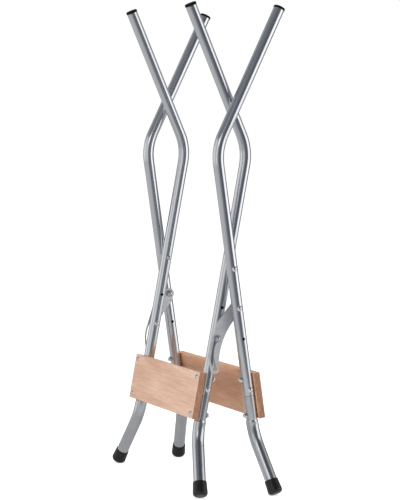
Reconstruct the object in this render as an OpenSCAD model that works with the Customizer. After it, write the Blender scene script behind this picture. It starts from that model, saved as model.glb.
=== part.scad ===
// Folding log saw stand: two crossing frames of bent tube, hinged at the crossing,
// with wooden cross boards, splayed legs and slotted straps that limit the spread.
// Millimetres, +Z up, folded. The origin is on the floor, midway between all four feet.
// X is the way the legs spread, Y the way a log lies; the near frame is on -Y.

/* [Tubes] */
// Outside diameter of the tubes, and of the legs' necks beside the boards
tube_d = 25; // [22:0.5:28]
// Wall of the tubes and legs
tube_wall = 1.5; // [1.2:0.1:2]
// Diameter of the holes through the tubes and legs
tube_hole_d = 7; // [6.4:0.1:7.2]
// Angle between a folded tube's straight part and the vertical
fold_angle = 9.6; // [8:0.2:12]
// From the pivot up to the corner of the elbow, along the tube
pivot_to_elbow = 269; // [240:1:300]
// Angle that the elbow turns
elbow_turn = 34.6; // [25:0.2:40]
// Radius of the elbow on the tube's axis
elbow_r = 115; // [80:1:150]
// From the corner of the elbow to the top end, along the arm
arm_len = 347; // [300:1:420]
// From the pivot down to the tube's lower end
tube_drop = 290; // [286:1:296]

/* [Stance] */
// Distance between the axes of the inner tubes
inner_span = 330; // [280:1:400]
// Air on each side of a strap, between the tubes of one crossing
strap_air = 0.3; // [0.3:0.1:0.6]

/* [Legs] */
// From the lower end of a tube up to the leg's bolt
leg_bolt_inset = 13.5; // [12:0.5:16]
// Length of the reduced top of a leg, inside the tube
spigot_len = 48; // [44:1:60]
// Clearance around the spigot, on the radius
spigot_fit = 0.05; // [0.02:0.01:0.1]
// Bevel of the leg's shoulder, where it meets the tube
shoulder_bevel = 1; // [0.4:0.1:1.2]
// How much thicker a leg is below its neck, on the radius
leg_swell = 1.5; // [1.2:0.1:2]
// Length of the taper below a leg's neck
neck_taper = 4; // [3:0.5:4.5]
// From the pivot down to the corner of the leg's bend
leg_bend_drop = 380; // [378:1:400]
// Angle that a leg splays away from the frame's plane
leg_splay = 29; // [20:0.5:34]
// Angle that the splay is turned towards the way the legs spread
leg_toe = 2; // [0:0.5:6]
// Radius of the leg's bend on its axis
leg_bend_r = 110; // [80:1:130]
// From the corner of the bend to the leg's lower end
leg_len = 141; // [120:1:170]

/* [Feet] */
// Length of a rubber foot
foot_len = 33; // [28:0.5:40]
// Thickness of a foot's wall at its upper lip
foot_lip_wall = 1.5; // [1:0.1:1.8]
// Diameter of a foot at its base
foot_base_d = 33.6; // [33:0.2:36]
// Rubber under the end of the leg
foot_sole = 5; // [4:0.5:8]
// Radius of the foot's lower edge
foot_edge_r = 8; // [6:0.5:8]
// Depth of the flat where the foot meets the floor
foot_flat = 0.6; // [0.4:0.1:1]
// Clearance between a foot or a plug and its tube, on the radius
push_fit = 0.05; // [0.02:0.01:0.1]

/* [End plugs] */
// Height of a plug's head above the tube
plug_head = 5.5; // [4:0.5:8]
// How far a plug's head stands out past the tube, on the radius
plug_lip = 0.8; // [0.4:0.1:1.2]
// Depth of a plug inside the tube
plug_depth = 18; // [12:1:30]
// Radius of the plug head's upper edge
plug_edge_r = 2; // [1:0.2:2.6]

/* [Boards] */
// Height of a board, along the tubes
board_h = 105; // [100:1:108]
// Thickness of a board
board_t = 15; // [12:0.5:20]
// Board past the axis of each tube
board_overhang = 14; // [12:0.5:24]
// From the pivot down to the middle of a board
board_drop = 293.5; // [292:0.5:300]
// Distance between the two screws in each board end
screw_pitch = 83; // [78:1:86]
// Radius of the boards' long edges
board_edge_r = 1.2; // [0.6:0.2:2]

/* [Straps] */
// Thickness of a strap
strap_t = 2; // [1.5:0.1:3]
// From the main pivot down to the strap's bolt
strap_bolt_drop = 90; // [86:1:94]
// From the main pivot down to the guide bolt
guide_bolt_drop = 160; // [155:1:164]
// Width of the slot
slot_w = 9.4; // [9:0.1:10]
// Metal outside the slot's curve
slot_rim = 3.6; // [3:0.2:5]
// Metal inside the slot's curve, at its top
web_top = 12; // [9:0.5:13]
// Metal inside the slot's curve, at its lower end
web_end = 5.5; // [4.5:0.5:6.5]
// Radius of the strap around its bolt
strap_head_r = 12.5; // [12:0.5:14]
// Radius of the strap's shoulder, above the slot
shoulder_r = 16; // [15:0.5:17]
// Radius of the strap's lower end
strap_end_r = 12; // [11.5:0.5:13]
// Angle from folded to fully spread
spread_max = 44; // [40:1:45]
// Turn of a strap for each degree of spread
strap_ratio = 1.58; // [1.5:0.01:1.62]
// How far the slot is straightened, within its play
slot_ease = 1.2; // [0.6:0.1:1.2]

/* [Fasteners] */
// Thread diameter of every bolt
bolt_d = 6; // [5:0.5:6]
// Clearance of a bolt in a strap, a board, a washer or a nut, on the radius
bolt_fit = 0.1; // [0.05:0.01:0.2]
// Diameter of the domed bolt heads
head_d = 13; // [12:0.5:15]
// Height of the domed bolt heads
head_h = 4; // [3:0.2:5]
// Width of the hexagon nuts across their flats
nut_af = 10; // [9:0.5:11]
// Height of the hexagon nuts
nut_h = 5; // [4:0.2:6]
// Bolt end that shows past a nut
bolt_tail = 2; // [1:0.5:4]
// Diameter of the washers
washer_d = 16; // [14:0.5:18]
// Thickness of the washers under a nut
washer_t = 1.2; // [1:0.1:2]
// Diameter of the washer between the tubes of a crossing
spacer_d = 18; // [14:0.5:22]
// Diameter of the domed screw heads on the boards
screw_head_d = 12; // [10:0.5:14]
// Height of the domed screw heads
screw_head_h = 3.6; // [3:0.1:4.4]
// Diameter of the dome nuts behind the boards
dome_nut_d = 13; // [12:0.5:14]
// Height of the dome nuts
dome_nut_h = 8; // [7:0.2:10]

/* [Hidden] */
$fn = 64;
eps = 0.01;
hull_fn = 32;
slot_steps = 20;
rim_steps = 6;
bend_lap = 1;
bend_swell = 0.12;
Y_AXIS = [0, 1, 0];
tube_r = tube_d / 2;
bore_r = tube_r - tube_wall;
leg_r = tube_r + leg_swell;
bolt_r = bolt_d / 2;
hole_r = bolt_r + bolt_fit;
hex_sides = 6;
half_turn = 180;
hex_d = nut_af / cos(half_turn / hex_sides);
tube_gap = strap_t + 2 * strap_air;
inner_y = inner_span / 2;
outer_y = inner_y + tube_d + tube_gap;
strap_y = inner_y + tube_r + tube_gap / 2;

// A foot's lowest point decides how high the pivot stands.
foot_reach = leg_len + foot_sole;
foot_fall = cos(fold_angle) * cos(leg_splay) - sin(fold_angle) * sin(leg_splay) * sin(leg_toe);
foot_base_r = foot_base_d / 2;
pivot_h = leg_bend_drop * cos(fold_angle) + (foot_reach - foot_edge_r) * foot_fall
        + (foot_base_r - foot_edge_r) * sin(acos(foot_fall)) + foot_edge_r - foot_flat;
floor_cut = 1000;

// Each bend shortens the straight parts beside it by its tangent length.
elbow_cut = elbow_r * tan(elbow_turn / 2);
leg_cut = leg_bend_r * tan(leg_splay / 2);
leg_bolt_drop = tube_drop - leg_bolt_inset;
neck_air = 0.5;
neck_step = 0.2;
neck_drop = board_drop + board_h / 2 + neck_air;
leg_bore_drop = min(neck_drop + 2 * tube_wall, leg_bend_drop - leg_cut);
screw_drops = [board_drop - screw_pitch / 2, board_drop + screw_pitch / 2];
cross_holes = [0, strap_bolt_drop, guide_bolt_drop, leg_bolt_drop];
seat_air = 0.3;

shoulder_share = 0.62;
shoulder_out = 3.6;
hollow_share = 0.33;
strap_waist = 13.5;

// The guide bolt's path, seen from the strap: the frame turns by spread, the strap by its ratio.
function turn(p, a) = [p[0] * cos(a) + p[1] * sin(a), -p[0] * sin(a) + p[1] * cos(a)];
function down(drop, tilt) = [drop * sin(tilt), -drop * cos(tilt)];
strap_pin = down(strap_bolt_drop, fold_angle);
function guide(spread) =
    turn(down(guide_bolt_drop, -fold_angle - spread) - strap_pin, -strap_ratio * spread);

// The slot is one arc through three points of that path, eased towards their chord.
guide_start = guide(0);
guide_end = guide(spread_max);
chord = guide_end - guide_start;
ease_way = [chord[1], -chord[0]] / norm(chord) * slot_ease;
arc_a = guide_start + ease_way;
arc_b = guide(spread_max / 2) - ease_way;
arc_c = guide_end + ease_way;
function circle_x(a, b, c) =
    let (d = 2 * (a[0] * (b[1] - c[1]) + b[0] * (c[1] - a[1]) + c[0] * (a[1] - b[1])))
    ((a * a) * (b[1] - c[1]) + (b * b) * (c[1] - a[1]) + (c * c) * (a[1] - b[1])) / d;
function swap(p) = [p[1], p[0]];
function circle_mid(a, b, c) = [circle_x(a, b, c), circle_x(swap(a), swap(b), swap(c))];
arc_mid = circle_mid(arc_a, arc_b, arc_c);
arc_r = norm(arc_a - arc_mid);
arc_from = atan2(arc_a[1] - arc_mid[1], arc_a[0] - arc_mid[0]);
arc_span = 2 * asin(norm(arc_c - arc_a) / (2 * arc_r));

// The strap's shoulder lies beside the line from its bolt to the slot; the hollow is one circle
// through three points: beside that line, and inside the slot's two ends.
strap_side = [guide_start[1], -guide_start[0]] / norm(guide_start);
shoulder = guide_start * shoulder_share + strap_side * shoulder_out;
hollow_top = guide_start * hollow_share - strap_side * strap_waist;
function inside_arc(p, web) = p + (arc_mid - p) / arc_r * (slot_w / 2 + web);
hollow_mid = circle_mid(hollow_top, inside_arc(arc_a, web_top), inside_arc(arc_c, web_end));

STEEL = [0.72, 0.74, 0.76];
ZINC = [0.82, 0.83, 0.84];
STRAP_STEEL = [0.62, 0.63, 0.64];
BEECH = [0.84, 0.66, 0.52];
RUBBER = [0.09, 0.09, 0.1];

// Places its children in a tube's own frame: the pivot is the origin, the straight part is Z,
// the elbow bends towards +X and +Y is away from the stand's middle.
module on_tube(outer, near) {
    mirror([outer ? 0 : 1, 0, 0])
        mirror([0, near ? 1 : 0, 0])
            translate([0, outer ? outer_y : inner_y, pivot_h])
                rotate(-fold_angle * Y_AXIS)
                    children();
}

module on_both_tubes(outer) {
    for (near = [true, false])
        on_tube(outer, near)
            children();
}

// Turns +Z outwards along +Y, for what is bolted across a tube.
module along_y(drop) {
    translate([0, 0, -drop])
        rotate([-90, 0, 0])
            children();
}

// Turns +Z along +X, for what is bolted through a board and its tube.
module along_x(drop) {
    translate([0, 0, -drop])
        rotate([0, 90, 0])
            children();
}

// A round bar that bends: up from low to the bend's corner at bend_z, then on for past.
// The bend is a hair fuller than the straight parts, which run a little way into it and are
// turned half round, so that their seams lie on the outside of the bend.
module bent_bar(r, low, bend_z, bend_r, angle, cut, past) {
    translate([0, 0, low])
        rotate([0, 0, half_turn])
            cylinder(r = r, h = bend_z - cut - low + bend_lap);
    translate([bend_r, 0, bend_z - cut])
        rotate([90, 0, 0])
            rotate([0, 0, half_turn - angle])
                rotate_extrude(angle = angle)
                    translate([bend_r, 0])
                        circle(r = r + bend_swell);
    translate([0, 0, bend_z])
        rotate([0, angle, 0])
            translate([0, 0, cut - bend_lap])
                rotate([0, 0, half_turn])
                    cylinder(r = r, h = past - cut + bend_lap);
}

module cross_hole(drop) {
    along_y(drop)
        cylinder(d = tube_hole_d, h = 2 * tube_d, center = true);
}

module screw_hole(drop) {
    along_x(drop)
        cylinder(d = tube_hole_d, h = 2 * tube_d, center = true);
}

module upper_tube() {
    difference() {
        bent_bar(tube_r, -tube_drop, pivot_to_elbow, elbow_r, elbow_turn, elbow_cut, arm_len);
        bent_bar(bore_r, -tube_drop - eps, pivot_to_elbow, elbow_r, elbow_turn, elbow_cut, arm_len + eps);
        for (drop = cross_holes)
            cross_hole(drop);
        screw_hole(screw_drops[0]);
    }
}

// The leg hangs head down from its bend, so that it is one bent bar with a thinner top.
module leg_bar(r, top, past) {
    translate([0, 0, -leg_bend_drop])
        mirror([0, 0, 1])
            rotate([0, 0, 90 - leg_toe])
                bent_bar(r, top - leg_bend_drop, 0, leg_bend_r, leg_splay, leg_cut, past);
}

// Cuts a bevel round a leg's shoulder, from its edge down to the leg's full radius.
module bevel_ring(drop, r, depth, length) {
    translate([0, 0, -drop])
        rotate_extrude()
            polygon([
                [r - depth - eps, eps],
                [r + depth, eps],
                [r + depth, -2 * length]
            ]);
}

// The leg steps in twice on its way up: to a neck as thick as the tube, beside the board, and to
// a spigot inside the tube. Its wall steps in with it.
module lower_leg() {
    spigot_r = bore_r - spigot_fit;
    difference() {
        union() {
            leg_bar(leg_r, neck_drop, leg_len);
            translate([0, 0, -neck_drop - tube_wall])
                cylinder(r = tube_r, h = neck_drop + tube_wall - tube_drop);
            translate([0, 0, -tube_drop - tube_wall])
                cylinder(r = spigot_r, h = spigot_len + tube_wall);
        }
        leg_bar(leg_r - tube_wall, leg_bore_drop, leg_len + eps);
        translate([0, 0, -neck_drop - 3 * tube_wall])
            cylinder(r = bore_r, h = neck_drop + tube_wall - tube_drop);
        translate([0, 0, -tube_drop - 3 * tube_wall])
            cylinder(r = spigot_r - tube_wall, h = spigot_len + 4 * tube_wall);
        bevel_ring(tube_drop, tube_r, shoulder_bevel, shoulder_bevel);
        bevel_ring(neck_drop, leg_r, leg_swell - neck_step, neck_taper);
        cross_hole(leg_bolt_drop);
        for (drop = screw_drops)
            screw_hole(drop);
    }
}

// Places its children at the leg's lower end, with +Z up the leg.
module at_leg_end() {
    translate([0, 0, -leg_bend_drop])
        rotate([0, 0, -leg_toe])
            rotate([leg_splay, 0, 0])
                translate([0, 0, -foot_reach])
                    children();
}

module foot_profile() {
    socket_r = leg_r + push_fit;
    lip_r = socket_r + foot_lip_wall;
    difference() {
        union() {
            square([foot_base_r - foot_edge_r, foot_edge_r]);
            translate([foot_base_r - foot_edge_r, foot_edge_r])
                intersection() {
                    circle(r = foot_edge_r);
                    translate([0, -foot_edge_r])
                        square(foot_edge_r);
                }
            polygon([[0, foot_edge_r], [foot_base_r, foot_edge_r], [lip_r, foot_len], [0, foot_len]]);
        }
        translate([-eps, foot_sole])
            square([socket_r + eps, foot_len]);
    }
}

module foot(outer, near) {
    color(RUBBER)
        difference() {
            on_tube(outer, near)
                at_leg_end()
                    rotate_extrude()
                        intersection() {
                            foot_profile();
                            square([foot_base_r, foot_len]);
                        }
            translate([0, 0, -floor_cut / 2])
                cube(floor_cut, center = true);
        }
}

module tube(outer, near) {
    color(STEEL)
        on_tube(outer, near)
            upper_tube();
}

module leg(outer, near) {
    color(STEEL)
        on_tube(outer, near)
            lower_leg();
}

module plug(outer, near) {
    head_r = tube_r + plug_lip;
    color(RUBBER)
        on_tube(outer, near)
            translate([0, 0, pivot_to_elbow])
                rotate([0, elbow_turn, 0])
                    translate([0, 0, arm_len])
                        rotate_extrude()
                            union() {
                                translate([0, -plug_depth])
                                    square([bore_r - push_fit, plug_depth + eps]);
                                square([head_r, plug_head - plug_edge_r]);
                                square([head_r - plug_edge_r, plug_head]);
                                translate([head_r - plug_edge_r, plug_head - plug_edge_r])
                                    intersection() {
                                        circle(r = plug_edge_r);
                                        square(plug_edge_r);
                                    }
                            }
}

// A board lies on the outside of its two tubes, with rounded long edges.
module board(outer) {
    half_len = (outer ? outer_y : inner_y) + board_overhang;
    color(BEECH)
        mirror([outer ? 0 : 1, 0, 0])
            translate([0, 0, pivot_h])
                rotate(-fold_angle * Y_AXIS)
                    difference() {
                        translate([tube_r, half_len, -board_drop - board_h / 2])
                            rotate([90, 0, 0])
                                linear_extrude(2 * half_len)
                                    rounded_rectangle(board_t, board_h, board_edge_r);
                        for (y = [-1, 1] * (half_len - board_overhang), drop = screw_drops)
                            translate([0, y, 0])
                                along_x(drop)
                                    cylinder(r = hole_r, h = tube_d + 2 * board_t);
                    }
}

module rounded_rectangle(w, h, r) {
    translate([r, 0])
        square([w - 2 * r, h]);
    translate([0, r])
        square([w, h - 2 * r]);
    for (x = [r, w - r], y = [r, h - r])
        translate([x, y])
            circle(r = r);
}

// The domed head seats on the board; the shank ends inside the dome nut.
module board_screw() {
    seat = tube_r + board_t;
    difference() {
        dome_bolt(seat, -tube_r - dome_nut_h / 2, screw_head_d, screw_head_h);
        cross_recess(seat + screw_head_h);
    }
}

module cross_recess(top) {
    recess_l = 6;
    recess_w = 1.4;
    recess_deep = 1.2;
    for (a = [0, 90])
        rotate([0, 0, a])
            translate([0, 0, top])
                cube([recess_l, recess_w, 2 * recess_deep], center = true);
}

module dome_nut() {
    collar_h = 2;
    collar_step = 1;
    translate([0, 0, -tube_r - dome_nut_h])
        difference() {
            union() {
                translate([0, 0, dome_nut_h - collar_h])
                    cylinder(d = dome_nut_d, h = collar_h);
                intersection() {
                    translate([0, 0, dome_nut_h - collar_h])
                        scale_dome(dome_nut_d / 2 - collar_step, dome_nut_h - collar_h);
                    cylinder(d = dome_nut_d, h = dome_nut_h - collar_h);
                }
            }
            translate([0, 0, dome_nut_h / 2])
                cylinder(r = hole_r, h = dome_nut_h);
        }
}

// A cap of a sphere, radius r where it is cut and height h, pointing down.
module scale_dome(r, h) {
    sphere_r = (r * r + h * h) / (2 * h);
    translate([0, 0, sphere_r - h])
        sphere(r = sphere_r);
}

// A domed head of diameter d and height h, seated at seat, with its shank down to tip.
module dome_bolt(seat, tip, d = head_d, h = head_h) {
    sphere_r = (d * d / 4 + h * h) / (2 * h);
    translate([0, 0, tip])
        cylinder(r = bolt_r, h = seat - tip + eps);
    translate([0, 0, seat])
        intersection() {
            cylinder(d = d, h = h);
            translate([0, 0, h - sphere_r])
                sphere(r = sphere_r);
        }
}

// A hexagon nut from low up, with its bolt's bore.
module hex_nut(low) {
    translate([0, 0, low])
        difference() {
            cylinder(d = hex_d, h = nut_h, $fn = hex_sides);
            translate([0, 0, -eps])
                cylinder(r = hole_r, h = nut_h + 2 * eps);
        }
}

module washer(low, d, t) {
    translate([0, 0, low])
        difference() {
            cylinder(d = d, h = t);
            translate([0, 0, -eps])
                cylinder(r = hole_r, h = t + 2 * eps);
        }
}

module board_screws(outer) {
    color(ZINC)
        on_both_tubes(outer)
            for (drop = screw_drops)
                along_x(drop)
                    board_screw();
}

module board_nuts(outer) {
    color(ZINC)
        on_both_tubes(outer)
            for (drop = screw_drops)
                along_x(drop)
                    dome_nut();
}

module leg_bolts(outer) {
    color(ZINC)
        on_both_tubes(outer)
            along_y(leg_bolt_drop)
                dome_bolt(tube_r, -tube_r - nut_h - bolt_tail);
}

module leg_nuts(outer) {
    color(ZINC)
        on_both_tubes(outer)
            along_y(leg_bolt_drop)
                hex_nut(-tube_r - nut_h);
}

// The pivot bolt crosses the outer tube, a washer and the inner tube.
pivot_nut_low = -tube_r - tube_gap - tube_d - seat_air - nut_h;

module pivot_bolts() {
    color(ZINC)
        on_both_tubes(true)
            along_y(0)
                dome_bolt(tube_r, pivot_nut_low - bolt_tail);
}

module pivot_washers() {
    color(ZINC)
        on_both_tubes(true)
            along_y(0)
                washer(-tube_r - tube_gap + seat_air, spacer_d, tube_gap - seat_air);
}

module pivot_nuts() {
    color(ZINC)
        on_both_tubes(true)
            along_y(0)
                hex_nut(pivot_nut_low);
}

// The strap's bolt crosses the outer tube and the strap; its nut is on the strap's inner face.
strap_washer_low = -tube_r - strap_air - strap_t - seat_air - washer_t;

module strap_bolts() {
    color(ZINC)
        on_both_tubes(true)
            along_y(strap_bolt_drop)
                dome_bolt(tube_r, strap_washer_low - nut_h - bolt_tail);
}

module strap_washers() {
    color(ZINC)
        on_both_tubes(true)
            along_y(strap_bolt_drop)
                washer(strap_washer_low, washer_d, washer_t);
}

module strap_nuts() {
    color(ZINC)
        on_both_tubes(true)
            along_y(strap_bolt_drop)
                hex_nut(strap_washer_low - nut_h);
}

// The guide bolt comes from the inner side; its nut is on the strap's outer face.
slot_washer_low = tube_r + strap_air + strap_t + seat_air;

module slot_bolts() {
    color(ZINC)
        on_both_tubes(false)
            along_y(guide_bolt_drop)
                mirror([0, 0, 1])
                    dome_bolt(tube_r, -slot_washer_low - washer_t - nut_h - bolt_tail);
}

module slot_washers() {
    color(ZINC)
        on_both_tubes(false)
            along_y(guide_bolt_drop)
                washer(slot_washer_low, washer_d, washer_t);
}

module slot_nuts() {
    color(ZINC)
        on_both_tubes(false)
            along_y(guide_bolt_drop)
                hex_nut(slot_washer_low + washer_t);
}

// The slot's arc, with round ends, as one outline.
module slot_shape() {
    half = slot_w / 2;
    arc_to = arc_from + arc_span;
    polygon(concat(
        [for (i = [0 : slot_steps]) on_circle(arc_mid, arc_r + half, arc_from + arc_span * i / slot_steps)],
        [for (i = [1 : slot_steps - 1]) on_circle(arc_c, half, arc_to + half_turn * i / slot_steps)],
        [for (i = [0 : slot_steps]) on_circle(arc_mid, arc_r - half, arc_to - arc_span * i / slot_steps)],
        [for (i = [1 : slot_steps - 1]) on_circle(arc_a, half, arc_from + half_turn * (1 + i / slot_steps))]
    ));
}

function on_circle(mid, r, angle) = mid + r * [cos(angle), sin(angle)];

// The strap is a convex blank with a long hollow cut into its inner side.
module strap_outline() {
    outside = slot_w / 2 + slot_rim;
    difference() {
        hull() {
            circle(r = strap_head_r, $fn = hull_fn);
            translate(shoulder)
                circle(r = shoulder_r, $fn = hull_fn);
            for (i = [0 : rim_steps])
                translate(on_circle(arc_mid, arc_r, arc_from + arc_span * i / rim_steps))
                    circle(r = outside, $fn = hull_fn);
            translate(arc_c)
                circle(r = strap_end_r, $fn = hull_fn);
        }
        translate(hollow_mid)
            circle(r = norm(hollow_top - hollow_mid));
    }
}

// Drawn in the XZ plane about its bolt, and seen from -Y.
module strap(near) {
    color(STRAP_STEEL)
        mirror([0, near ? 0 : 1, 0])
            translate([strap_pin[0], -strap_y + strap_t / 2, pivot_h + strap_pin[1]])
                rotate([90, 0, 0])
                    difference() {
                        linear_extrude(strap_t)
                            strap_outline();
                        translate([0, 0, -eps])
                            linear_extrude(strap_t + 2 * eps)
                                slot_shape();
                        translate([0, 0, -eps])
                            cylinder(r = hole_r, h = strap_t + 2 * eps);
                    }
}

tube(true, true);  // outer_tube_near
tube(true, false);  // outer_tube_far
tube(false, true);  // inner_tube_near
tube(false, false);  // inner_tube_far
leg(true, true);  // outer_leg_near
leg(true, false);  // outer_leg_far
leg(false, true);  // inner_leg_near
leg(false, false);  // inner_leg_far
foot(true, true);  // outer_foot_near
foot(true, false);  // outer_foot_far
foot(false, true);  // inner_foot_near
foot(false, false);  // inner_foot_far
plug(true, true);  // outer_plug_near
plug(true, false);  // outer_plug_far
plug(false, true);  // inner_plug_near
plug(false, false);  // inner_plug_far
board(true);  // outer_board
board(false);  // inner_board
strap(true);  // strap_near
strap(false);  // strap_far
board_screws(true);  // outer_board_screws
board_screws(false);  // inner_board_screws
board_nuts(true);  // outer_board_nuts
board_nuts(false);  // inner_board_nuts
leg_bolts(true);  // outer_leg_bolts
leg_bolts(false);  // inner_leg_bolts
leg_nuts(true);  // outer_leg_nuts
leg_nuts(false);  // inner_leg_nuts
pivot_bolts();
pivot_washers();
pivot_nuts();
strap_bolts();
strap_washers();
strap_nuts();
slot_bolts();
slot_washers();
slot_nuts();
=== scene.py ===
"""Folding log saw stand: finishes for its solids, and the studio around it."""

import math

import bpy
from mathutils import Matrix, Vector


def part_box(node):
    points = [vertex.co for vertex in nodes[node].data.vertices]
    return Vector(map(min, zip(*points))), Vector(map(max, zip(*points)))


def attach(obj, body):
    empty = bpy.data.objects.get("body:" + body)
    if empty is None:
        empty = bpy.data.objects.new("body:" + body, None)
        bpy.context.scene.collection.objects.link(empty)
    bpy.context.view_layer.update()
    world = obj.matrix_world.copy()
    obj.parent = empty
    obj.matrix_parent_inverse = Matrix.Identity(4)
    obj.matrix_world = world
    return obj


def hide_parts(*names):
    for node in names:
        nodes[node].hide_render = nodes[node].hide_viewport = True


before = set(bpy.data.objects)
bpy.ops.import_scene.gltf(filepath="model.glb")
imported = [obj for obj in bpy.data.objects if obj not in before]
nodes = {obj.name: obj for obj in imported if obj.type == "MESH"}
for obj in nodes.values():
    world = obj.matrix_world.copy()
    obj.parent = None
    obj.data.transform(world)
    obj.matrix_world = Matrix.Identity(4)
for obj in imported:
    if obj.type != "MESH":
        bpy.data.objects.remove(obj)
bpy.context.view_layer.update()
bpy.ops.object.select_all(action="DESELECT")

# The camera stands left of the near frame, a little above the middle of the stand.
CAMERA_AZIMUTH = math.radians(-25.328)
CAMERA_ELEVATION = math.radians(3.6495)
CAMERA_ROLL = math.radians(1.2127)
CAMERA_PLACE = Vector((-1.79755, -3.82077, 0.80325))
SENSOR = 36.0
FOCAL = 131.03
STAND_MIDDLE = Vector((0.0, 0.0, 0.5))

# The tubes' lean and the turn and height of their elbows, for the streaks along them.
TUBE_LEAN = math.radians(9.6)
ELBOW_TURN = math.radians(34.6)
ELBOW_HEIGHT = 0.77
ELBOW_FADE = 0.02
PIVOT_HEIGHT = 0.5052

# Where the axes of each frame's tubes lie on either side of the middle, and the inner wall inside them,
# where shade is painted near black.
OUTER_HALF_SPAN = 0.1926
INNER_HALF_SPAN = 0.165
BORE_FADE = (0.0119, 0.0122)
SHADE_INSIDE_TOP_FADE = (0.12, 0.14)


# Finishes

STREAKS_ACROSS = 420.0
STREAKS_ALONG = 5.0
EVEN = (1.0, 1.0, 1.0)
CONTOURS = 75.0


def new_finish(name):
    """A new material, its node tree and its Principled shader."""
    material = bpy.data.materials.new(name)
    material.use_nodes = True
    tree = material.node_tree
    shader = tree.nodes["Principled BSDF"]
    return material, tree, shader


def add_node(tree, kind, values=None, links=None):
    """A node of that kind with its socket values set and its inputs linked."""
    node = tree.nodes.new(kind)
    for key, value in (values or {}).items():
        if isinstance(key, int) or key in node.inputs:
            node.inputs[key].default_value = value
        else:
            setattr(node, key, value)
    for key, source in (links or {}).items():
        tree.links.new(source, node.inputs[key])
    return node


def object_pattern(tree, scale, turn=(0.0, 0.0, 0.0), shift=(0.0, 0.0, 0.0)):
    """Object coordinates, turned and stretched."""
    place = add_node(tree, "ShaderNodeTexCoord")
    mapping = add_node(
        tree,
        "ShaderNodeMapping",
        {"Scale": scale, "Rotation": turn, "Location": shift},
        {"Vector": place.outputs["Object"]},
    )
    return mapping.outputs["Vector"]


def noise(tree, vector, scale, detail=4.0, roughness=0.55, distortion=0.0):
    node = add_node(
        tree,
        "ShaderNodeTexNoise",
        {"Scale": scale, "Detail": detail, "Roughness": roughness, "Distortion": distortion},
        {"Vector": vector},
    )
    return node.outputs["Fac"]


def ramp(tree, fac, stops):
    node = add_node(tree, "ShaderNodeValToRGB", links={"Fac": fac})
    bar = node.color_ramp
    while len(bar.elements) < len(stops):
        bar.elements.new(0.5)
    for element, (place, colour) in zip(bar.elements, stops):
        element.position = place
        element.color = (*colour, 1.0)
    return node.outputs["Color"]


def spread(tree, fac, low, high):
    node = add_node(tree, "ShaderNodeMapRange", {"To Min": low, "To Max": high}, {"Value": fac})
    return node.outputs["Result"]


def blend(tree, fac, first, second, mode="MIX"):
    node = add_node(tree, "ShaderNodeMix", {"data_type": "RGBA", "blend_type": mode})
    if isinstance(fac, float):
        node.inputs["Factor"].default_value = fac
    else:
        tree.links.new(fac, node.inputs["Factor"])
    tree.links.new(first, node.inputs[6])
    tree.links.new(second, node.inputs[7])
    return node.outputs[2]


def bump(tree, shader, height, strength, distance):
    node = add_node(
        tree, "ShaderNodeBump", {"Strength": strength, "Distance": distance}, {"Height": height}
    )
    tree.links.new(node.outputs["Normal"], shader.inputs["Normal"])


def along_tube(tree, lean):
    """Object coordinates turned by a lean about Y, fine across the tube and long along it."""
    return object_pattern(tree, (STREAKS_ACROSS, STREAKS_ACROSS, STREAKS_ALONG), turn=(0.0, lean, 0.0))


def inside_tube(tree, lean, half_span):
    """1 on the inner wall of a frame's two straight tubes and 0 outside, by distance from their axes:
    where shade is painted.
    """
    place = add_node(tree, "ShaderNodeTexCoord")
    along = add_node(
        tree,
        "ShaderNodeMapping",
        {"vector_type": "TEXTURE", "Location": (0.0, 0.0, PIVOT_HEIGHT), "Rotation": (0.0, -lean, 0.0)},
        {"Vector": place.outputs["Object"]},
    )
    part = add_node(tree, "ShaderNodeSeparateXYZ", links={"Vector": along.outputs["Vector"]})
    side = add_node(tree, "ShaderNodeMath", {"operation": "ABSOLUTE"}, {0: part.outputs["Y"]})
    out = add_node(tree, "ShaderNodeMath", {"operation": "SUBTRACT", 1: half_span}, {0: side.outputs[0]})
    across = add_node(tree, "ShaderNodeCombineXYZ", links={"X": part.outputs["X"], "Y": out.outputs[0]})
    far = add_node(tree, "ShaderNodeVectorMath", {"operation": "LENGTH"}, {0: across.outputs[0]})
    inner = add_node(
        tree,
        "ShaderNodeMapRange",
        {"From Min": BORE_FADE[0], "From Max": BORE_FADE[1], "To Min": 1.0, "To Max": 0.0},
        {"Value": far.outputs["Value"]},
    )
    below = add_node(
        tree,
        "ShaderNodeMapRange",
        {"From Min": SHADE_INSIDE_TOP_FADE[0], "From Max": SHADE_INSIDE_TOP_FADE[1], "To Min": 1.0, "To Max": 0.0},
        {"Value": part.outputs["Z"]},
    )
    both = add_node(
        tree,
        "ShaderNodeMath",
        {"operation": "MULTIPLY"},
        {0: inner.outputs["Result"], 1: below.outputs["Result"]},
    )
    return both.outputs[0]


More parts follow.
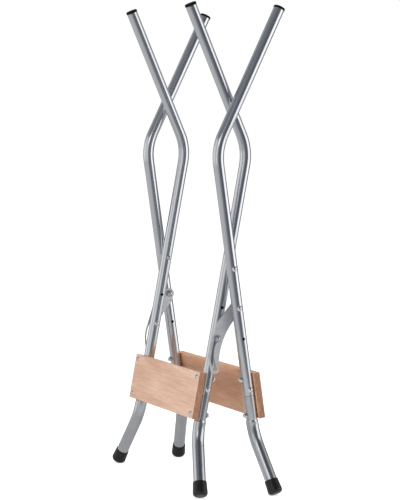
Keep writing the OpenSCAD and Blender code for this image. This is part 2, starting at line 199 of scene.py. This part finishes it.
def drawn_tube(name, dark, light, smooth, rough, low_lean, high_lean, half_span):
    """Bright zinc on drawn tube, with faint streaks along the straight part and along the arm, and
    painted shade, near black, on the inner wall of the straight tubes.
    """
    material, tree, shader = new_finish(name)
    low = noise(tree, along_tube(tree, low_lean), 1.0, roughness=0.6)
    high = noise(tree, along_tube(tree, high_lean), 1.0, roughness=0.6)
    place = add_node(tree, "ShaderNodeTexCoord")
    height = add_node(tree, "ShaderNodeSeparateXYZ", links={"Vector": place.outputs["Object"]})
    above = add_node(
        tree,
        "ShaderNodeMapRange",
        {"From Min": ELBOW_HEIGHT - ELBOW_FADE, "From Max": ELBOW_HEIGHT + ELBOW_FADE},
        {"Value": height.outputs["Z"]},
    )
    streak = blend(tree, above.outputs["Result"], low, high)
    cloud = noise(tree, object_pattern(tree, (1.0, 1.0, 0.35)), 40.0, detail=3.0)
    tone = blend(tree, 0.45, streak, cloud)
    plated = ramp(tree, tone, [(0.3, dark), (0.7, light)])
    # Painted shade: the inner wall is near black, standing in for the shade inside the tube and its
    # holes.
    painted_shade_inside = ramp(tree, cloud, [(0.3, (0.015, 0.015, 0.016)), (0.7, (0.03, 0.029, 0.028))])
    colour = blend(tree, inside_tube(tree, low_lean, half_span), plated, painted_shade_inside)
    tree.links.new(colour, shader.inputs["Base Color"])
    tree.links.new(spread(tree, tone, rough, smooth), shader.inputs["Roughness"])
    shader.inputs["Metallic"].default_value = 1.0
    bump(tree, shader, streak, 0.02, 0.0001)
    return material


def dull_tube(name, dark, light, smooth, rough):
    """Greyer zinc of the legs, with a soft mottle."""
    material, tree, shader = new_finish(name)
    cloud = noise(tree, object_pattern(tree, EVEN), 45.0)
    grain = noise(tree, object_pattern(tree, (1.0, 1.0, 0.3)), 500.0, detail=3.0)
    tone = blend(tree, 0.3, cloud, grain)
    tree.links.new(ramp(tree, tone, [(0.3, dark), (0.7, light)]), shader.inputs["Base Color"])
    tree.links.new(spread(tree, tone, rough, smooth), shader.inputs["Roughness"])
    shader.inputs["Metallic"].default_value = 1.0
    bump(tree, shader, grain, 0.02, 0.0001)
    return material


def strip_steel():
    """Matt galvanised strip with a faint mottle."""
    material, tree, shader = new_finish("strap_steel")
    mottle = noise(tree, object_pattern(tree, EVEN), 90.0, detail=6.0, roughness=0.6)
    grain = noise(tree, object_pattern(tree, EVEN), 900.0, detail=2.0)
    colour = ramp(tree, mottle, [(0.3, (0.78, 0.78, 0.785)), (0.7, (0.90, 0.90, 0.905))])
    tree.links.new(colour, shader.inputs["Base Color"])
    tree.links.new(spread(tree, mottle, 0.52, 0.62), shader.inputs["Roughness"])
    shader.inputs["Metallic"].default_value = 1.0
    bump(tree, shader, grain, 0.12, 0.0002)
    return material


def bright_zinc():
    """Bright zinc of the bolts, nuts and washers."""
    material, tree, shader = new_finish("zinc")
    mottle = noise(tree, object_pattern(tree, EVEN), 260.0)
    colour = ramp(tree, mottle, [(0.3, (0.80, 0.81, 0.82)), (0.7, (0.90, 0.91, 0.92))])
    tree.links.new(colour, shader.inputs["Base Color"])
    tree.links.new(spread(tree, mottle, 0.05, 0.1), shader.inputs["Roughness"])
    shader.inputs["Metallic"].default_value = 1.0
    return material


def wood_noise(tree, scale, shift, detail, roughness=0.55, distortion=0.0):
    """Noise stretched along the board, moved so that the two boards differ."""
    return noise(tree, object_pattern(tree, scale, shift=shift), 1.0, detail, roughness, distortion)


def beech(name, shift, tint_and_painted_light):
    """Planed beech: contours and fine fibres along Y, short dark flecks, and darker end grain."""
    material, tree, shader = new_finish(name)
    field = wood_noise(tree, (7.0, 1.0, 11.0), shift, 2.0, 0.45, 0.2)
    phase = add_node(tree, "ShaderNodeMath", {"operation": "MULTIPLY", 1: CONTOURS}, {0: field})
    wave = add_node(tree, "ShaderNodeMath", {"operation": "SINE"}, {0: phase.outputs[0]})
    figure = add_node(
        tree, "ShaderNodeMapRange", {"From Min": -1.0, "From Max": 1.0}, {"Value": wave.outputs[0]}
    )
    clouds = wood_noise(tree, (12.0, 5.0, 22.0), shift, 4.0, 0.55, 0.4)
    fibre = wood_noise(tree, (520.0, 14.0, 520.0), shift, 5.0, 0.65)
    flecks = wood_noise(tree, (800.0, 110.0, 800.0), shift, 2.0)
    pale = ramp(
        tree,
        clouds,
        [(0.30, (0.66, 0.425, 0.30)), (0.52, (0.75, 0.52, 0.395)), (0.72, (0.82, 0.61, 0.48))],
    )
    ringed = ramp(tree, figure.outputs["Result"], [(0.0, (0.95, 0.91, 0.875)), (0.5, (1.0, 1.0, 1.0))])
    fine = ramp(tree, fibre, [(0.32, (0.79, 0.75, 0.715)), (0.6, (1.0, 1.0, 1.0))])
    fleck = ramp(tree, flecks, [(0.28, (0.66, 0.55, 0.47)), (0.37, (1.0, 1.0, 1.0))])
    face = blend(tree, 1.0, pale, ringed, "MULTIPLY")
    face = blend(tree, 1.0, face, fine, "MULTIPLY")
    face = blend(tree, 1.0, face, fleck, "MULTIPLY")
    # The face is multiplied by a tint: the board's own hue, and on the outer board also painted light,
    # brighter to make up for the shade its inner face is in.
    tinted = ramp(tree, clouds, [(0.0, tint_and_painted_light), (1.0, tint_and_painted_light)])
    face = blend(tree, 1.0, face, tinted, "MULTIPLY")
    pores = wood_noise(tree, (240.0, 20.0, 70.0), shift, 5.0, 0.6, 1.2)
    end = ramp(tree, pores, [(0.3, (0.30, 0.135, 0.075)), (0.7, (0.56, 0.30, 0.185))])
    normal = add_node(tree, "ShaderNodeNewGeometry")
    split = add_node(tree, "ShaderNodeSeparateXYZ", links={"Vector": normal.outputs["Normal"]})
    facing = add_node(tree, "ShaderNodeMath", {"operation": "ABSOLUTE"}, {0: split.outputs["Y"]})
    is_end = add_node(
        tree, "ShaderNodeMapRange", {"From Min": 0.7, "From Max": 0.9}, {"Value": facing.outputs[0]}
    )
    colour = blend(tree, is_end.outputs["Result"], face, end)
    tree.links.new(colour, shader.inputs["Base Color"])
    tree.links.new(spread(tree, fibre, 0.62, 0.5), shader.inputs["Roughness"])
    bump(tree, shader, fibre, 0.15, 0.0002)
    return material


def moulded_black(name, low, high, smooth, rough, pores):
    """Moulded black rubber or plastic with a fine texture."""
    material, tree, shader = new_finish(name)
    skin = noise(tree, object_pattern(tree, EVEN), pores)
    dust = noise(tree, object_pattern(tree, EVEN), 60.0)
    tree.links.new(ramp(tree, dust, [(0.3, low), (0.75, high)]), shader.inputs["Base Color"])
    tree.links.new(spread(tree, dust, smooth, rough), shader.inputs["Roughness"])
    bump(tree, shader, skin, 0.2, 0.0003)
    return material


TUBE_TONES = ((0.67, 0.68, 0.70), (0.76, 0.77, 0.79), 0.13, 0.2)
outer_steel = drawn_tube(
    "tube_steel_outer", *TUBE_TONES, TUBE_LEAN, TUBE_LEAN - ELBOW_TURN, OUTER_HALF_SPAN
)
inner_steel = drawn_tube(
    "tube_steel_inner", *TUBE_TONES, -TUBE_LEAN, ELBOW_TURN - TUBE_LEAN, INNER_HALF_SPAN
)
leg_steel = dull_tube("leg_steel", (0.56, 0.57, 0.585), (0.66, 0.67, 0.68), 0.15, 0.21)
strap_finish = strip_steel()
zinc = bright_zinc()
inner_beech = beech("beech_inner", (0.0, 0.0, 0.0), (1.0, 0.955, 0.935))
# The outer board's tint is partly its own hue and partly painted light, brightening its faces to make up
# for the shade on its inner face.
outer_beech = beech("beech_outer", (3.1, 1.7, 0.4), (1.14, 0.98, 0.84))
foot_rubber = moulded_black(
    "foot_rubber", (0.0045, 0.0042, 0.0047), (0.010, 0.0095, 0.0105), 0.26, 0.4, 900.0
)
ring_nylon = moulded_black("ring_nylon", (0.010, 0.011, 0.014), (0.018, 0.019, 0.023), 0.35, 0.5, 700.0)
plug_plastic = moulded_black(
    "plug_plastic", (0.004, 0.004, 0.0045), (0.008, 0.008, 0.009), 0.5, 0.62, 700.0
)
plug_plastic.node_tree.nodes["Principled BSDF"].inputs["Specular IOR Level"].default_value = 0.1


def finish_of(node):
    if node.startswith("outer_tube"):
        return outer_steel
    if node.startswith("inner_tube"):
        return inner_steel
    if node.endswith(("_leg_near", "_leg_far")):
        return leg_steel
    if "_foot_" in node:
        return foot_rubber
    if "_plug_" in node:
        return plug_plastic
    if node == "inner_board":
        return inner_beech
    if node == "outer_board":
        return outer_beech
    if node in ("strap_near", "strap_far"):
        return strap_finish
    return zinc


for node_name, solid in nodes.items():
    if not solid.material_slots:
        solid.data.materials.append(None)
    for place in solid.material_slots:
        place.material = finish_of(node_name)


# Lock nuts, modelled once on end at the origin and copied to the ends of every bolt

NUT_FLATS = 0.010
NUT_SEAT = 0.0036
NUT_HEIGHT = 0.005
CROWN_R = 0.0045
CROWN_ROLL = 0.0007
RING_R = 0.0036
THREAD_R = 0.00325
THREAD_ROOT = 0.00303
THREAD_RINGS = 4
THREAD_RISE = 0.0003
THREAD_FALL = 0.0004
THREAD_SINK = 0.0008
TIP_RISE = 0.0002
TIP_SHRINKS = (0.94, 0.8)
OVERLAP = 0.0004
CORNER_REACH = 1.02
CORNER_SLOPE = (0.6, 0.8)
SAME_HEIGHT = 0.00002


def pick_faces(piece, wanted):
    """Selects, in edit mode, only the faces that are wanted."""
    bpy.ops.object.mode_set(mode="EDIT")
    bpy.ops.mesh.select_mode(type="FACE")
    bpy.ops.mesh.select_all(action="DESELECT")
    bpy.ops.object.mode_set(mode="OBJECT")
    for face in piece.data.polygons:
        face.select = wanted(face)
    bpy.ops.object.mode_set(mode="EDIT")


def pick_top(piece, height):
    pick_faces(piece, lambda face: face.normal.z > 0.9 and abs(face.center.z - height) < SAME_HEIGHT)


def new_round(sides, radius, low, high):
    """A round or many-sided bar on the Z axis."""
    bpy.ops.object.select_all(action="DESELECT")
    bpy.ops.mesh.primitive_cylinder_add(
        vertices=sides, radius=radius, depth=high - low, location=(0.0, 0.0, (low + high) / 2)
    )
    bpy.ops.object.transform_apply(location=True, rotation=True, scale=True)
    return bpy.context.object


def raise_top(piece, height, rise, factor):
    """Extrudes the top face upwards and scales it about the axis."""
    pick_top(piece, height)
    bpy.ops.mesh.extrude_region_move(TRANSFORM_OT_translate={"value": (0.0, 0.0, rise)})
    bpy.ops.transform.resize(value=(factor, factor, 1.0), center_override=(0.0, 0.0, 0.0))
    bpy.ops.object.mode_set(mode="OBJECT")
    return height + rise


def hexagon_body():
    """The hexagon, with its corners cut back above and below."""
    piece = new_round(6, NUT_FLATS / math.sqrt(3.0), 0.0, NUT_SEAT)
    bpy.ops.object.mode_set(mode="EDIT")
    reach = NUT_FLATS / 2 * CORNER_REACH
    outward, upward = CORNER_SLOPE
    for step in range(6):
        turn = math.radians(60.0 * step)
        for up, height in ((1.0, NUT_SEAT), (-1.0, 0.0)):
            bpy.ops.mesh.select_all(action="SELECT")
            bpy.ops.mesh.bisect(
                plane_co=(reach * math.sin(turn), reach * math.cos(turn), height),
                plane_no=(math.sin(turn) * outward, math.cos(turn) * outward, up * upward),
                use_fill=True,
                clear_outer=True,
            )
    bpy.ops.object.mode_set(mode="OBJECT")
    piece.data.materials.append(zinc)
    return piece


def rolled_crown():
    """The crown rolled over the locking ring, and the sunk face of that ring."""
    piece = new_round(40, CROWN_R, NUT_SEAT - OVERLAP, NUT_HEIGHT)
    pick_top(piece, NUT_HEIGHT)
    bpy.ops.mesh.bevel(offset=CROWN_ROLL, segments=4, affect="EDGES")
    pick_top(piece, NUT_HEIGHT)
    bpy.ops.mesh.inset(thickness=CROWN_R - CROWN_ROLL - RING_R)
    bpy.ops.mesh.extrude_region_move(TRANSFORM_OT_translate={"value": (0.0, 0.0, -CROWN_ROLL)})
    bpy.ops.object.mode_set(mode="OBJECT")
    piece.data.materials.append(zinc)
    piece.data.materials.append(ring_nylon)
    for face in piece.data.polygons:
        sunk = face.normal.z > 0.9 and face.center.z < NUT_HEIGHT - CROWN_ROLL / 2
        face.material_index = 1 if sunk else 0
    return piece


def thread_end():
    """The bolt's end past the nut: four rings of thread and a rounded tip."""
    height = NUT_HEIGHT - THREAD_SINK
    piece = new_round(32, THREAD_ROOT, height - OVERLAP, height)
    swell = THREAD_R / THREAD_ROOT
    for ring in range(THREAD_RINGS):
        height = raise_top(piece, height, THREAD_RISE, swell)
        height = raise_top(piece, height, THREAD_FALL, 1.0 / swell)
    for shrink in TIP_SHRINKS:
        height = raise_top(piece, height, TIP_RISE, shrink)
    piece.data.materials.append(zinc)
    return piece


def joined(first, others):
    bpy.ops.object.select_all(action="DESELECT")
    for piece in (first, *others):
        piece.select_set(True)
    bpy.context.view_layer.objects.active = first
    bpy.ops.object.join()
    return first


def nut_pair(pattern, node, body, faces_out):
    """Copies the nut to both ends of a bolt line, in place of the solid nuts there."""
    low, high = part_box(node)
    seat = high[1] - (NUT_HEIGHT if faces_out else 0.0)
    copies = []
    for side in (-1.0, 1.0):
        nut = pattern.copy()
        nut.data = pattern.data.copy()
        bpy.context.scene.collection.objects.link(nut)
        away = side if faces_out else -side
        nut.rotation_euler = (-away * math.pi / 2, 0.0, 0.0)
        nut.location = ((low[0] + high[0]) / 2, side * seat, (low[2] + high[2]) / 2)
        bpy.ops.object.select_all(action="DESELECT")
        nut.select_set(True)
        bpy.context.view_layer.objects.active = nut
        bpy.ops.object.transform_apply(location=True, rotation=True, scale=True)
        copies.append(nut)
    pair = joined(copies[0], copies[1:])
    pair.name = node.replace("nuts", "lock_nuts")
    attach(pair, body)
    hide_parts(node)


lock_nut = joined(rolled_crown(), [hexagon_body(), thread_end()])
bpy.ops.object.shade_smooth_by_angle(angle=math.radians(32.0))
nut_pair(lock_nut, "pivot_nuts", "outer_frame", False)
nut_pair(lock_nut, "strap_nuts", "outer_frame", False)
nut_pair(lock_nut, "slot_nuts", "inner_frame", True)
nut_pair(lock_nut, "outer_leg_nuts", "outer_frame", False)
nut_pair(lock_nut, "inner_leg_nuts", "inner_frame", False)
bpy.data.objects.remove(lock_nut)


# Studio: each card is an angle in degrees to the right of the camera, a level and a tint

COOL = (0.97, 0.98, 1.0)
SLATE = (0.82, 0.89, 1.0)
BRIGHTEST = 1.5
LOW_CARDS = [
    (-180.0, 0.28, COOL),
    (-135.0, 0.34, COOL),
    (-112.0, 0.74, COOL),
    (-92.0, 1.12, COOL),
    (-76.0, 0.74, COOL),
    (-60.0, 0.56, COOL),
    (-46.0, 0.66, COOL),
    (-34.0, 0.96, COOL),
    (-20.0, 0.60, COOL),
    (-7.0, 0.40, SLATE),
    (4.0, 0.17, SLATE),
    (40.0, 0.13, SLATE),
    (53.0, 0.20, SLATE),
    (60.0, 1.25, COOL),
    (76.0, 1.45, COOL),
    (100.0, 1.40, COOL),
    (109.0, 0.45, COOL),
    (122.0, 0.18, COOL),
    (180.0, 0.24, COOL),
]
MIDDLE_CARDS = [
    (-180.0, 0.30, COOL),
    (-120.0, 0.40, COOL),
    (-100.0, 0.70, COOL),
    (-70.0, 0.90, COOL),
    (-52.0, 0.50, COOL),
    (-37.0, 0.40, COOL),
    (-29.0, 1.45, COOL),
    (-12.0, 1.35, COOL),
    (0.0, 0.20, SLATE),
    (40.0, 0.13, SLATE),
    (48.0, 0.25, SLATE),
    (55.0, 1.30, COOL),
    (84.0, 1.35, COOL),
    (98.0, 0.75, COOL),
    (112.0, 0.42, COOL),
    (128.0, 0.30, COOL),
    (180.0, 0.30, COOL),
]
HIGH_CARDS = [
    (-180.0, 0.38, COOL),
    (-115.0, 0.40, COOL),
    (-92.0, 0.30, SLATE),
    (-60.0, 0.23, SLATE),
    (-24.0, 0.26, SLATE),
    (0.0, 0.20, SLATE),
    (22.0, 0.12, SLATE),
    (60.0, 0.16, SLATE),
    (80.0, 0.34, COOL),
    (110.0, 0.50, COOL),
    (130.0, 0.40, COOL),
    (180.0, 0.38, COOL),
]
TOP_CARDS = [
    (-180.0, 0.38, COOL),
    (-115.0, 0.40, COOL),
    (-92.0, 0.30, SLATE),
    (-60.0, 0.23, SLATE),
    (-24.0, 0.26, SLATE),
    (-8.0, 0.14, SLATE),
    (4.0, 0.10, SLATE),
    (48.0, 0.12, SLATE),
    (64.0, 0.24, COOL),
    (80.0, 0.34, COOL),
    (110.0, 0.50, COOL),
    (130.0, 0.40, COOL),
    (180.0, 0.38, COOL),
]
FLOOR_CARDS = [
    (-180.0, 0.44, COOL),
    (-118.0, 0.58, COOL),
    (-90.0, 0.56, COOL),
    (-60.0, 0.56, COOL),
    (-32.0, 0.50, COOL),
    (-8.0, 0.32, SLATE),
    (12.0, 0.17, SLATE),
    (46.0, 0.17, SLATE),
    (60.0, 0.36, COOL),
    (72.0, 0.85, COOL),
    (102.0, 0.95, COOL),
    (118.0, 0.52, COOL),
    (134.0, 0.38, COOL),
    (180.0, 0.44, COOL),
]
NEAR_FLOOR_CARDS = [
    (-180.0, 0.44, COOL),
    (-118.0, 0.50, COOL),
    (-60.0, 0.54, COOL),
    (-25.0, 0.62, COOL),
    (70.0, 0.66, COOL),
    (110.0, 0.55, COOL),
    (180.0, 0.44, COOL),
]

# Where one list of cards gives way to the next, in metres
WALL_BANDS = [(1.65, 1.85, MIDDLE_CARDS), (2.6, 2.9, HIGH_CARDS), (3.2, 3.5, TOP_CARDS)]
FLOOR_BANDS = [(1.1, 1.5, FLOOR_CARDS)]
DRUM_RADIUS = 4.4
DRUM_LOW = 0.003
DRUM_HIGH = 4.2
FLOOR_SIZE = 60.0
FLOOR_LIFT = 0.66
WORLD_FILL = 0.46


def card_stops(levels):
    """Ramp stops for a list of cards."""
    stops = []
    for angle, level, tint in levels:
        colour = tuple(level * part / BRIGHTEST for part in tint)
        stops.append(((angle + 180.0) / 360.0, colour))
    return stops


def card_finish(name, levels, bands, flat):
    """Cards round the stand, whose level follows the angle from the camera.

    It changes over each band, by height on the wall or by distance from the middle on the floor.
    """
    material = bpy.data.materials.new(name)
    material.use_nodes = True
    tree = material.node_tree
    tree.nodes.clear()
    out = add_node(tree, "ShaderNodeOutputMaterial")
    turned_in = object_pattern(tree, EVEN, turn=(0.0, 0.0, math.pi / 2 - CAMERA_AZIMUTH))
    around = add_node(
        tree, "ShaderNodeTexGradient", {"gradient_type": "RADIAL"}, {"Vector": turned_in}
    )
    place = add_node(tree, "ShaderNodeTexCoord")
    height = add_node(tree, "ShaderNodeSeparateXYZ", links={"Vector": place.outputs["Object"]})
    distance = add_node(
        tree, "ShaderNodeVectorMath", {"operation": "LENGTH"}, {0: place.outputs["Object"]}
    )
    measure = distance.outputs["Value"] if flat else height.outputs["Z"]
    colour = ramp(tree, around.outputs["Fac"], card_stops(levels))
    for start, end, further in bands:
        part = add_node(
            tree, "ShaderNodeMapRange", {"From Min": start, "From Max": end}, {"Value": measure}
        )
        beyond = ramp(tree, around.outputs["Fac"], card_stops(further))
        colour = blend(tree, part.outputs["Result"], colour, beyond)
    light = add_node(tree, "ShaderNodeEmission", {"Strength": BRIGHTEST}, {"Color": colour})
    tree.links.new(light.outputs[0], out.inputs["Surface"])
    return material


def card_drum(radius, low, high):
    """Grey, dark and white cards all round, below and above, seen only in reflections."""
    bpy.ops.object.select_all(action="DESELECT")
    bpy.ops.mesh.primitive_cylinder_add(vertices=96, radius=radius, depth=high - low)
    drum = bpy.context.object
    drum.name = "card_drum"
    drum.location.z = (low + high) / 2
    bpy.ops.object.transform_apply(location=True, rotation=True, scale=True)
    drum.data.materials.append(card_finish("cards_round", LOW_CARDS, WALL_BANDS, False))
    drum.data.materials.append(card_finish("cards_below", NEAR_FLOOR_CARDS, FLOOR_BANDS, True))
    for face in drum.data.polygons:
        face.material_index = 1 if face.normal.z < -0.5 else 0
    drum.visible_camera = False
    drum.visible_diffuse = False
    drum.visible_shadow = False
    drum.visible_transmission = False


def soft_light(name, place, aim, wide, tall, power):
    lamp = bpy.data.lights.new(name, "AREA")
    lamp.shape = "RECTANGLE"
    lamp.size = wide
    lamp.size_y = tall
    lamp.energy = power
    holder = bpy.data.objects.new(name, lamp)
    bpy.context.scene.collection.objects.link(holder)
    holder.location = place
    holder.rotation_euler = (Vector(aim) - Vector(place)).to_track_quat("-Z", "Y").to_euler()
    holder.visible_glossy = False


card_drum(DRUM_RADIUS, DRUM_LOW, DRUM_HIGH)
soft_light("key", (-3.6, -1.3, 0.5), (0.0, 0.0, 0.3), wide=1.0, tall=1.0, power=64.0)
soft_light("side", (3.4, -0.6, 1.6), STAND_MIDDLE, wide=0.8, tall=2.4, power=20.0)
soft_light("top", (0.0, -0.6, 3.6), STAND_MIDDLE, wide=2.6, tall=2.6, power=45.0)


def pale_floor():
    bpy.ops.mesh.primitive_plane_add(size=FLOOR_SIZE)
    floor = bpy.context.object
    floor.name = "floor"
    material, tree, shader = new_finish("floor")
    cloud = noise(tree, object_pattern(tree, EVEN), 3.0, detail=3.0)
    tree.links.new(
        ramp(tree, cloud, [(0.3, (0.93, 0.93, 0.93)), (0.7, (0.95, 0.95, 0.95))]),
        shader.inputs["Base Color"],
    )
    shader.inputs["Roughness"].default_value = 0.9
    shader.inputs["Specular IOR Level"].default_value = 0.0
    path = add_node(tree, "ShaderNodeLightPath")
    seen = add_node(
        tree,
        "ShaderNodeMath",
        {"operation": "MAXIMUM"},
        {0: path.outputs["Is Camera Ray"], 1: path.outputs["Is Glossy Ray"]},
    )
    lift = add_node(
        tree, "ShaderNodeMath", {"operation": "MULTIPLY", 1: FLOOR_LIFT}, {0: seen.outputs[0]}
    )
    shader.inputs["Emission Color"].default_value = (1.0, 1.0, 1.0, 1.0)
    tree.links.new(lift.outputs[0], shader.inputs["Emission Strength"])
    floor.data.materials.append(material)


def white_world():
    world = bpy.data.worlds.new("studio")
    bpy.context.scene.world = world
    world.use_nodes = True
    tree = world.node_tree
    back = tree.nodes["Background"]
    back.inputs["Color"].default_value = (1.0, 1.0, 1.0, 1.0)
    path = add_node(tree, "ShaderNodeLightPath")
    mirror = add_node(
        tree,
        "ShaderNodeMath",
        {"operation": "MAXIMUM"},
        {0: path.outputs["Is Glossy Ray"], 1: path.outputs["Is Transmission Ray"]},
    )
    seen = add_node(
        tree,
        "ShaderNodeMath",
        {"operation": "MAXIMUM"},
        {0: path.outputs["Is Camera Ray"], 1: mirror.outputs[0]},
    )
    level = add_node(
        tree, "ShaderNodeMapRange", {"To Min": WORLD_FILL, "To Max": 1.0}, {"Value": seen.outputs[0]}
    )
    tree.links.new(level.outputs["Result"], back.inputs["Strength"])


def stand_camera():
    lens = bpy.data.cameras.new("camera")
    lens.sensor_fit = "VERTICAL"
    lens.sensor_height = SENSOR
    lens.lens = FOCAL
    holder = bpy.data.objects.new("camera", lens)
    bpy.context.scene.collection.objects.link(holder)
    back = Vector(
        (
            math.sin(CAMERA_AZIMUTH) * math.cos(CAMERA_ELEVATION),
            -math.cos(CAMERA_AZIMUTH) * math.cos(CAMERA_ELEVATION),
            math.sin(CAMERA_ELEVATION),
        )
    )
    level = (-back).cross(Vector((0.0, 0.0, 1.0))).normalized()
    upright = level.cross(-back)
    right = level * math.cos(CAMERA_ROLL) + upright * math.sin(CAMERA_ROLL)
    up = upright * math.cos(CAMERA_ROLL) - level * math.sin(CAMERA_ROLL)
    turn = Matrix((right, up, back)).transposed().to_4x4()
    holder.matrix_world = Matrix.Translation(CAMERA_PLACE) @ turn
    bpy.context.scene.camera = holder


pale_floor()
white_world()
stand_camera()
bpy.context.scene.view_settings.view_transform = "Standard"
